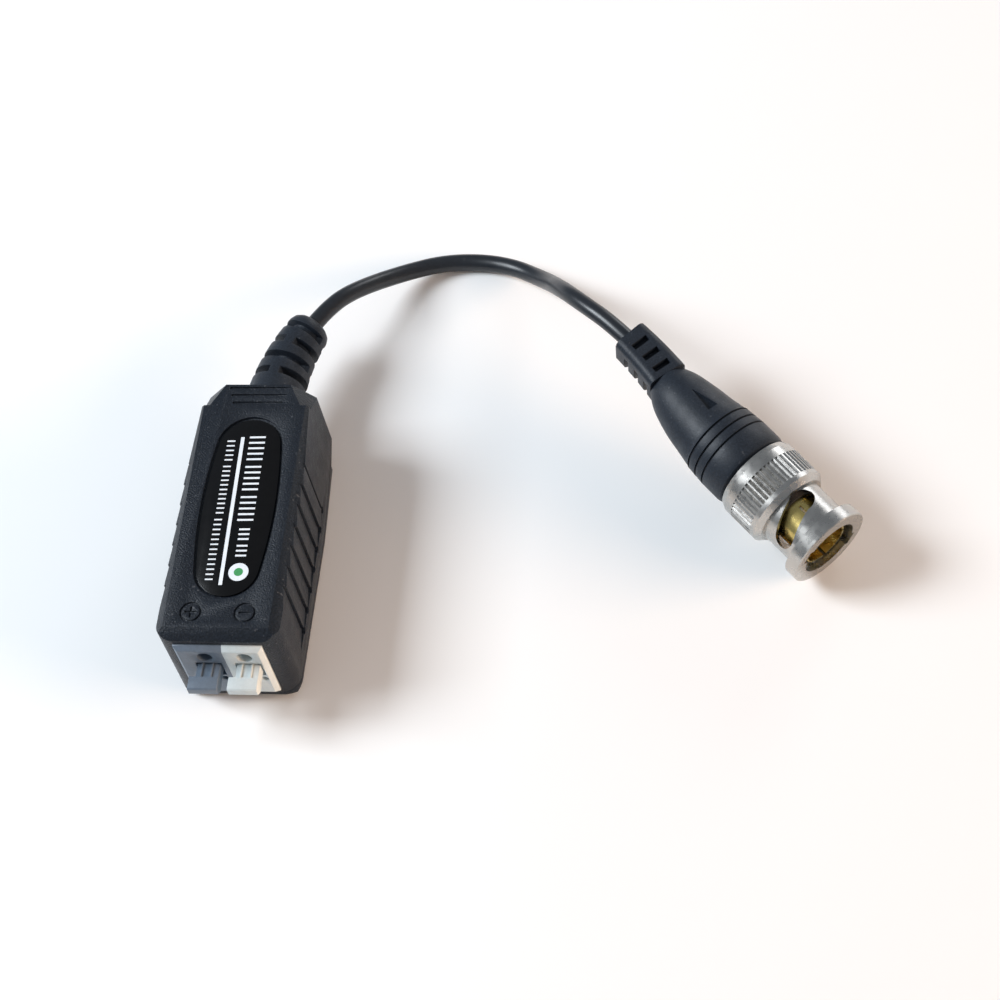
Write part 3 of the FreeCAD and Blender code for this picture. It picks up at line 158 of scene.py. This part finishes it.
# Materials
class Nodes:
    """A material under construction, with short ways to add its nodes."""

    def __init__(self, name):
        self.material = bpy.data.materials.new(name)
        self.material.use_nodes = True
        self.tree = self.material.node_tree
        self.shader = self.tree.nodes["Principled BSDF"]
        self.place = self.add("ShaderNodeTexCoord").outputs["Object"]

    def add(self, kind, **settings):
        node = self.tree.nodes.new(kind)
        for name, value in settings.items():
            setattr(node, name, value)
        return node

    def link(self, source, target):
        self.tree.links.new(source, target)

    def noise(self, size, detail=3.0, roughness=0.55, place=None):
        """Fine noise whose blobs are about the given size in metres."""
        node = self.add("ShaderNodeTexNoise")
        node.inputs["Scale"].default_value = 1.0 / size
        node.inputs["Detail"].default_value = detail
        node.inputs["Roughness"].default_value = roughness
        self.link(place or self.place, node.inputs["Vector"])
        return node.outputs["Fac"]

    def remap(self, value, low, high, to_low, to_high):
        """A value stretched from one range to another."""
        node = self.add("ShaderNodeMapRange")
        for name, number in (("From Min", low), ("From Max", high), ("To Min", to_low), ("To Max", to_high)):
            node.inputs[name].default_value = number
        self.link(value, node.inputs["Value"])
        return node.outputs["Result"]

    def blend(self, share, first, second):
        """One colour or the other by a share from 0 to 1."""
        node = self.add("ShaderNodeMix", data_type="RGBA")
        self.link(share, node.inputs["Factor"])
        for name, value in (("A", first), ("B", second)):
            socket = [item for item in node.inputs if item.name == name and item.type == "RGBA"][0]
            if isinstance(value, bpy.types.NodeSocket):
                self.link(value, socket)
            else:
                socket.default_value = (*value, 1.0)
        return [item for item in node.outputs if item.type == "RGBA"][0]

    def bump(self, height, depth):
        """Relief of the given depth in metres."""
        node = self.add("ShaderNodeBump")
        node.inputs["Distance"].default_value = depth
        self.link(height, node.inputs["Height"])
        return node.outputs["Normal"]

    def scaled(self, scale, turn):
        """Object coordinates in turned axes, divided by a size in metres along each."""
        node = self.add("ShaderNodeMapping", vector_type="TEXTURE")
        node.inputs["Rotation"].default_value = turn
        node.inputs["Scale"].default_value = scale
        self.link(self.place, node.inputs["Vector"])
        return node.outputs["Vector"]


def tint(colour, factor):
    """A darker or lighter colour."""
    return tuple(min(1.0, part * factor) for part in colour)


def moulded(name, colour, roughness, grain, depth, speckle_and_glint=1.35, dust_and_glint=0.0, patch=0.004, gloss=0.5):
    """A moulded plastic or vinyl with grain, soft mottling and a little dust; at strong settings its light
    speckle and dust specks are painted glints.
    """
    nodes = Nodes(name)
    fine = nodes.noise(grain, 2.0, 0.6)
    broad = nodes.noise(patch, 3.0, 0.5)
    share = nodes.remap(fine, 0.38, 0.66, 0.0, 1.0)
    # Darker and lighter grain tones; a strong speckle also paints glints into the colour
    shade = nodes.blend(share, tint(colour, 1.0 / speckle_and_glint), tint(colour, speckle_and_glint))
    shade = nodes.blend(nodes.remap(broad, 0.35, 0.7, 0.0, 0.35), shade, tint(colour, 1.25))
    # Light specks: partly dust, partly painted glints on the grain
    if dust_and_glint:
        dust_glint_specks = nodes.noise(grain * 2.2, 1.0, 0.4)
        shade = nodes.blend(nodes.remap(dust_glint_specks, 0.70, 0.78, 0.0, dust_and_glint), shade, DUST_AND_GLINT_COLOUR)
    nodes.link(shade, nodes.shader.inputs["Base Color"])
    rough = nodes.remap(nodes.noise(patch * 0.6, 4.0), 0.3, 0.7, roughness * 0.88, roughness * 1.12)
    nodes.link(rough, nodes.shader.inputs["Roughness"])
    nodes.link(nodes.bump(fine, depth), nodes.shader.inputs["Normal"])
    nodes.shader.inputs["IOR"].default_value = 1.49
    nodes.shader.inputs["Specular IOR Level"].default_value = gloss
    return nodes


def plated(name, colour, roughness, axis_turn=(0.0, 0.0, 0.0), depth=0.0000006, stain=0.25):
    """Satin plate with fine turning marks across its axis, faint stains and a few dull spots."""
    nodes = Nodes(name)
    marks = nodes.noise(1.0, 2.0, 0.5, nodes.scaled((0.004, 0.004, 0.00012), axis_turn))
    broad = nodes.noise(0.003, 3.0, 0.5)
    share = nodes.remap(broad, 0.45, 0.75, 0.0, stain)
    nodes.link(nodes.blend(share, colour, tint(colour, 0.72)), nodes.shader.inputs["Base Color"])
    dull = nodes.remap(nodes.noise(0.0012, 2.0, 0.5), 0.35, 0.75, roughness * 0.9, roughness * 1.35)
    nodes.link(dull, nodes.shader.inputs["Roughness"])
    nodes.link(nodes.bump(marks, depth), nodes.shader.inputs["Normal"])
    nodes.shader.inputs["Metallic"].default_value = 1.0
    return nodes


# The plug's own axes, for the marks that its turning leaves
def plug_turn():
    """Euler turn from the plug's own axes, with +Z towards the mouth, to the model's."""
    ring = next(joint for joint in frame["joints"] if joint["name"] == "ring_turn")
    ahead = Vector(ring["axis"]).normalized()
    side = Vector((ahead.y, -ahead.x, 0.0)).normalized()
    return tuple(Matrix((side, ahead.cross(side), ahead)).transposed().to_euler("XYZ"))


# Mesh helpers
def finish_mesh(work, name, material, body, replaced=(), angle=32.0):
    """Write a bmesh out as a finished piece that rides on a body."""
    mesh = bpy.data.meshes.new(name)
    for face in work.faces:
        face.smooth = True
    for edge in work.edges:
        if len(edge.link_faces) == 2:
            edge.smooth = edge.calc_face_angle(0.0) < math.radians(angle)
    work.to_mesh(mesh)
    work.free()
    piece = bpy.data.objects.new(name, mesh)
    bpy.context.scene.collection.objects.link(piece)
    mesh.materials.append(material)
    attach(piece, body)
    if replaced:
        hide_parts(*replaced)
    return piece


def rounded_copy(node, width, angle=24.0, segments=2):
    """A CAD node's mesh with its triangles joined and its sharp edges rounded."""
    work = bmesh.new()
    work.from_mesh(frame["nodes"][node].data)
    bmesh.ops.remove_doubles(work, verts=work.verts, dist=SAME_POINT)
    bmesh.ops.dissolve_limit(work, angle_limit=math.radians(FLAT_ENOUGH), verts=work.verts, edges=work.edges)
    sharp = [edge for edge in work.edges
             if len(edge.link_faces) == 2 and edge.calc_face_angle(0.0) > math.radians(angle)]
    bmesh.ops.bevel(work, geom=sharp, offset=width, offset_type="OFFSET", segments=segments,
                    profile=0.5, affect="EDGES", clamp_overlap=True, material=-1)
    return work


def coat(node, material):
    """Give a CAD node its material."""
    item = frame["nodes"][node]
    item.data.materials.clear()
    item.data.materials.append(material)


class BuildStep:
    """What the operators have in common."""

    bl_options = {"REGISTER", "UNDO"}


class BALUN_OT_stage(BuildStep, bpy.types.Operator):
    """Lay the pale floor, hang the lights and set the camera"""

    bl_idname = "balun.stage"
    bl_label = "Stage"

    # Places in metres
    FLOOR_REACH = 1.6
    FLOOR_MIDDLE = (0.04, 0.02, -0.00002)
    AIM = (0.03, 0.02, 0.0)
    # Each lamp: name, place, width, watts, colour, and whether it shows in gloss
    LAMPS = (
        ("key_light", (-0.60, 0.02, 0.56), 0.36, 7.6, (0.88, 0.94, 1.0), True),
        ("side_light", (0.90, -0.10, 0.16), 0.5, 13.0, (1.0, 0.68, 0.46), False),
        ("rear_light", (0.35, 0.75, 0.25), 0.3, 1.2, (0.95, 0.97, 1.0), True),
    )
    CAMERA_PLACE = (0.1174355, -0.2154396, 0.36792)
    CAMERA_AHEAD = (-0.18097, 0.52033, -0.8345)
    CAMERA_RIGHT = (0.98346, 0.10236, -0.14940)

    def execute(self, context):
        look = context.scene.balun_stage
        work = bmesh.new()
        bmesh.ops.create_grid(work, x_segments=2, y_segments=2, size=self.FLOOR_REACH)
        bmesh.ops.translate(work, verts=work.verts, vec=self.FLOOR_MIDDLE)
        mesh = bpy.data.meshes.new("floor")
        work.to_mesh(mesh)
        work.free()
        floor = bpy.data.objects.new("floor", mesh)
        context.scene.collection.objects.link(floor)
        nodes = Nodes("plain_floor")
        nodes.link(nodes.blend(nodes.noise(0.05), look.floor, tint(look.floor, 1.02)),
                   nodes.shader.inputs["Base Color"])
        nodes.shader.inputs["Roughness"].default_value = 0.85
        mesh.materials.append(nodes.material)

        world = bpy.data.worlds.new("studio")
        world.use_nodes = True
        world.node_tree.nodes["Background"].inputs["Color"].default_value = (*SKY, 1.0)
        world.node_tree.nodes["Background"].inputs["Strength"].default_value = 0.27
        context.scene.world = world
        for name, place, width, power, colour, mirrored in self.LAMPS:
            light = bpy.data.lights.new(name, "AREA")
            light.energy = power
            light.size = width
            light.color = colour
            lamp = bpy.data.objects.new(name, light)
            context.scene.collection.objects.link(lamp)
            lamp.visible_glossy = mirrored
            lamp.location = place
            aim = Vector(self.AIM) - lamp.location
            lamp.rotation_euler = aim.to_track_quat("-Z", "Y").to_euler()

        camera_data = bpy.data.cameras.new("camera")
        camera_data.sensor_width = 36.0
        camera_data.lens = look.lens
        camera_data.clip_start = 0.01
        camera = bpy.data.objects.new("camera", camera_data)
        context.scene.collection.objects.link(camera)
        ahead = Vector(self.CAMERA_AHEAD)
        right = Vector(self.CAMERA_RIGHT)
        up = right.cross(ahead).normalized()
        turn = Matrix((up.cross(-ahead), up, -ahead)).transposed().to_4x4()
        camera.matrix_world = Matrix.Translation(Vector(self.CAMERA_PLACE)) @ turn
        context.scene.camera = camera
        context.scene.view_settings.view_transform = "Standard"
        return {"FINISHED"}


class BALUN_OT_housing(BuildStep, bpy.types.Operator):
    """Round off the two moulded housing halves and give them their grain"""

    bl_idname = "balun.housing"
    bl_label = "Housing"

    def execute(self, context):
        look = context.scene.balun_housing
        # The strong speckle and dust paint light specks into the colour as glints on the grain, besides real
        # dust
        black = moulded("grained_black", look.colour, 0.40, look.grain, 0.00013, 1.7, 0.15, gloss=0.30)
        for node in ("upper_shell", "bottom_cover"):
            finish_mesh(rounded_copy(node, look.edge), node + "_skin", black.material,
                        "base", (node,))
        return {"FINISHED"}


class BALUN_OT_label(BuildStep, bpy.types.Operator):
    """Coat the oval label and lay its plain printed shapes"""

    bl_idname = "balun.label"
    bl_label = "Label"

    # All in millimetres from the label's middle: a rule, as low and high X, low and high Y
    RULE = (-1.33, -0.75, -14.3, 13.0)
    # Rows of plain bars: low and high X, first and last Y, bars, and the width of each
    ROWS = (
        (0.1, 2.7, 8.6, 13.1, 5, 0.34), (0.1, 2.7, 2.95, 7.5, 5, 0.34), (0.1, 2.7, -2.7, 1.85, 5, 0.34),
        (0.65, 2.4, -6.2, -4.1, 3, 0.32), (0.65, 2.4, -9.2, -7.1, 3, 0.32),
        (-3.5, -2.2, 8.6, 12.4, 5, 0.26), (-3.55, -2.3, -1.3, 7.6, 11, 0.26),
        (-3.63, -2.38, -13.4, -2.3, 13, 0.26),
    )
    DISC_PLACE = (1.57, -12.0)
    DISC_RADIUS = 1.6
    SPOT_RADIUS = 0.72

    def execute(self, context):
        look = context.scene.balun_label
        field = moulded("gloss_label", look.field, 0.22, 0.0009, 0.000002, 1.1, gloss=0.25)
        finish_mesh(rounded_copy("label_plate", 0.00006), "label_skin", field.material,
                    "base", ("label_plate",))
        low, high = (Vector(corner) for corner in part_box("label_plate"))
        seat = Matrix.Translation(((low.x + high.x) / 2, (low.y + high.y) / 2, high.z))
        seat = seat @ Matrix.Rotation(look.print_turn, 4, "Z")
        white = moulded("label_print", look.print_colour, 0.4, 0.0003, 0.000001, 1.05)
        work = bmesh.new()
        for bar in self.bars():
            self.film(work, bar, look.film)
        self.disc(work, self.DISC_RADIUS, 0.0, look.film)
        bmesh.ops.transform(work, matrix=seat, verts=work.verts)
        finish_mesh(work, "label_print", white.material, "base")
        green = moulded("label_spot", look.spot, 0.4, 0.0003, 0.000001, 1.1)
        work = bmesh.new()
        self.disc(work, self.SPOT_RADIUS, look.film, look.film)
        bmesh.ops.transform(work, matrix=seat, verts=work.verts)
        finish_mesh(work, "label_spot", green.material, "base")
        return {"FINISHED"}

    def bars(self):
        """Every bar as low and high X, low and high Y."""
        found = [self.RULE]
        for low_x, high_x, first, last, count, width in self.ROWS:
            pitch = (last - first - width) / (count - 1)
            for index in range(count):
                start = first + index * pitch
                found.append((low_x, high_x, start, start + width))
        return found

    @staticmethod
    def film(work, bar, thickness):
        """Lay one bar of print on the label."""
        low_x, high_x, low_y, high_y = (number * MM for number in bar)
        made = bmesh.ops.create_cube(work, size=1.0)["verts"]
        bmesh.ops.scale(work, verts=made, vec=(high_x - low_x, high_y - low_y, thickness))
        bmesh.ops.translate(work, verts=made, vec=((low_x + high_x) / 2, (low_y + high_y) / 2, thickness / 2))

    def disc(self, work, radius, height, thickness):
        """Lay a round spot of print at a height above the label."""
        made = bmesh.ops.create_cone(work, cap_ends=True, segments=48, radius1=radius * MM,
                                     radius2=radius * MM, depth=thickness)["verts"]
        across, along = self.DISC_PLACE
        bmesh.ops.translate(work, verts=made, vec=(across * MM, along * MM, height + thickness / 2))


class BALUN_OT_terminals(BuildStep, bpy.types.Operator):
    """Finish the wire terminals, their levers, contacts and clamp springs"""

    bl_idname = "balun.terminals"
    bl_label = "Terminals"

    def execute(self, context):
        look = context.scene.balun_housing
        tones = {
            "grey": moulded("grey_nylon", look.grey, 0.42, 0.0005, 0.000006, 1.06, 0.0, 0.0025),
            "white": moulded("white_nylon", look.white, 0.40, 0.0005, 0.000006, 1.03, 0.0, 0.0025),
        }
        for tone, nodes in tones.items():
            nodes.shader.inputs["Subsurface Weight"].default_value = 0.08
            nodes.shader.inputs["Subsurface Radius"].default_value = (0.001, 0.001, 0.001)
            finish_mesh(rounded_copy("terminal_" + tone, 0.00009), "terminal_%s_skin" % tone,
                        nodes.material, "base", ("terminal_" + tone,))
            finish_mesh(rounded_copy("lever_" + tone, 0.00016, segments=3), "lever_%s_skin" % tone,
                        nodes.material, "lever_" + tone, ("lever_" + tone,))
        tin = plated("tinned_contact", TIN, 0.28)
        spring = plated("clamp_spring", SPRING_STEEL, 0.24)
        for tone in tones:
            coat("contact_bar_" + tone, tin.material)
            coat("clamp_spring_" + tone, spring.material)
        return {"FINISHED"}


class BALUN_OT_inner_works(BuildStep, bpy.types.Operator):
    """Finish the circuit board and what stands on it"""

    bl_idname = "balun.inner_works"
    bl_label = "Inner Works"

    def execute(self, context):
        board = moulded("board_laminate", LAMINATE_GREEN, 0.35, 0.0004, 0.000003, 1.2)
        ferrite = moulded("ferrite", FERRITE_GREY, 0.6, 0.0003, 0.00001, 1.4)
        enamel = plated("enamelled_wire", ENAMEL_RED, 0.3)
        film = moulded("film_resin", CAPACITOR_RED, 0.25, 0.0008, 0.000004, 1.1)
        arrester = moulded("arrester_body", ARRESTER_WHITE, 0.4, 0.0005, 0.000004, 1.1)
        chip = moulded("chip_body", CHIP_BLACK, 0.5, 0.0003, 0.000004, 1.2)
        copper = plated("bare_copper", COPPER, 0.3)
        for node, nodes in (("circuit_board", board), ("toroid_core", ferrite), ("winding_left", enamel),
                            ("winding_right", enamel), ("film_capacitor", film),
                            ("surge_arrester", arrester), ("chip_resistors", chip),
                            ("core_wire", copper), ("braid_tail", copper)):
            coat(node, nodes.material)
        return {"FINISHED"}


class BALUN_OT_lead(BuildStep, bpy.types.Operator):
    """Lay the coaxial lead and finish its strain relief"""

    bl_idname = "balun.lead"
    bl_label = "Lead"

    # Control points of the lead's middle line, in millimetres
    ROUTE = (
        (4.37, 42.09, 9.8), (5.96, 45.01, 9.8), (9.32, 49.54, 8.94), (15.57, 57.01, 3.71),
        (24.08, 61.53, 1.47), (33.94, 60.95, 1.47), (41.92, 55.5, 3.89), (46.54, 47.92, 11.45),
        (50.5, 43.44, 13.72), (55.63, 38.91, 14.43), (58.82, 35.87, 13.81),
    )

    def execute(self, context):
        look = context.scene.balun_lead
        vinyl = moulded("lead_vinyl", look.colour, 0.34, 0.0006, 0.000006, 1.15, 0.04, 0.006, gloss=0.5)
        line = bpy.data.curves.new("lead", "CURVE")
        line.dimensions = "3D"
        line.bevel_depth = look.diameter / 2
        line.bevel_resolution = 8
        line.resolution_u = 24
        line.use_fill_caps = True
        spline = line.splines.new("NURBS")
        spline.points.add(len(self.ROUTE) - 1)
        for point, place in zip(spline.points, self.ROUTE):
            point.co = (*(number * MM for number in place), 1.0)
        spline.order_u = 3
        spline.use_endpoint_u = True
        line.materials.append(vinyl.material)
        lead = bpy.data.objects.new("lead", line)
        context.scene.collection.objects.link(lead)
        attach(lead, "base")
        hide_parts("cable")
        soft = moulded("moulded_vinyl", look.moulding, 0.47, 0.00026, 0.00003, 1.35, 0.08, gloss=0.32)
        finish_mesh(rounded_copy("strain_relief", 0.00018, 30.0, 3), "strain_relief_skin", soft.material,
                    "base", ("strain_relief",))
        boot = finish_mesh(rounded_copy("plug_boot", 0.00012, 30.0, 3), "plug_boot_skin", soft.material,
                           "base", ("plug_boot",))
        coat("cable_end", vinyl.material)
        return {"FINISHED"}


class BALUN_OT_plug(BuildStep, bpy.types.Operator):
    """Plate the plug's ring, body, sleeve and pin"""

    bl_idname = "balun.plug"
    bl_label = "Bayonet Plug"

    def execute(self, context):
        look = context.scene.balun_plug
        turn = plug_turn()
        nickel = plated("nickel_plate", look.nickel, 0.27, turn)
        gilt = plated("gilt_plate", look.gilt, 0.26, turn, stain=0.2)
        steel = plated("spring_steel", WASHER_STEEL, 0.25, turn)
        resin = moulded("white_insulator", RESIN_WHITE, 0.35, 0.0006, 0.000004, 1.04)
        rubber = moulded("gasket_rubber", RUBBER, 0.6, 0.0003, 0.000006, 1.2)
        clear = moulded("cable_dielectric", CLEAR_PLASTIC, 0.35, 0.0006, 0.000003, 1.04)
        for node, nodes in (("coupling_ring", nickel), ("plug_body", nickel), ("crimp_ferrule", nickel),
                            ("contact_sleeve", gilt), ("centre_pin", gilt), ("insulator", resin),
                            ("gasket", rubber), ("spring_washer", steel), ("retaining_clip", steel),
                            ("cable_plug_end", clear)):
            coat(node, nodes.material)
        return {"FINISHED"}


class BALUN_PT_panel(bpy.types.Panel):
    """Buttons for each step and the sizes behind them"""

    bl_idname = "BALUN_PT_panel"
    bl_label = "Video Balun"
    bl_space_type = "VIEW_3D"
    bl_region_type = "UI"
    bl_category = "Balun"

    def draw(self, context):
        column = self.layout.column()
        for step in STEPS:
            column.operator(step.bl_idname)
        for name in LOOKS:
            group = getattr(context.scene, name)
            box = self.layout.box()
            for prop in type(group).__annotations__:
                box.prop(group, prop)


LOOKS = {"balun_housing": HousingLook, "balun_label": LabelLook, "balun_lead": LeadLook,
         "balun_plug": PlugLook, "balun_stage": StageLook}
STEPS = (BALUN_OT_stage, BALUN_OT_lead, BALUN_OT_housing, BALUN_OT_label, BALUN_OT_terminals,
         BALUN_OT_inner_works, BALUN_OT_plug)


def register():
    for group in LOOKS.values():
        bpy.utils.register_class(group)
    for step in STEPS:
        bpy.utils.register_class(step)
    bpy.utils.register_class(BALUN_PT_panel)
    for name, group in LOOKS.items():
        setattr(bpy.types.Scene, name, bpy.props.PointerProperty(type=group))


def unregister():
    for name in LOOKS:
        delattr(bpy.types.Scene, name)
    bpy.utils.unregister_class(BALUN_PT_panel)
    for step in reversed(STEPS):
        bpy.utils.unregister_class(step)
    for group in reversed(list(LOOKS.values())):
        bpy.utils.unregister_class(group)


def main():
    register()
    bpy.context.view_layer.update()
    bpy.ops.balun.stage()
    bpy.ops.balun.lead()
    bpy.ops.balun.housing()
    bpy.ops.balun.label()
    bpy.ops.balun.terminals()
    bpy.ops.balun.inner_works()
    bpy.ops.balun.plug()


if __name__ == "__main__":
    main()
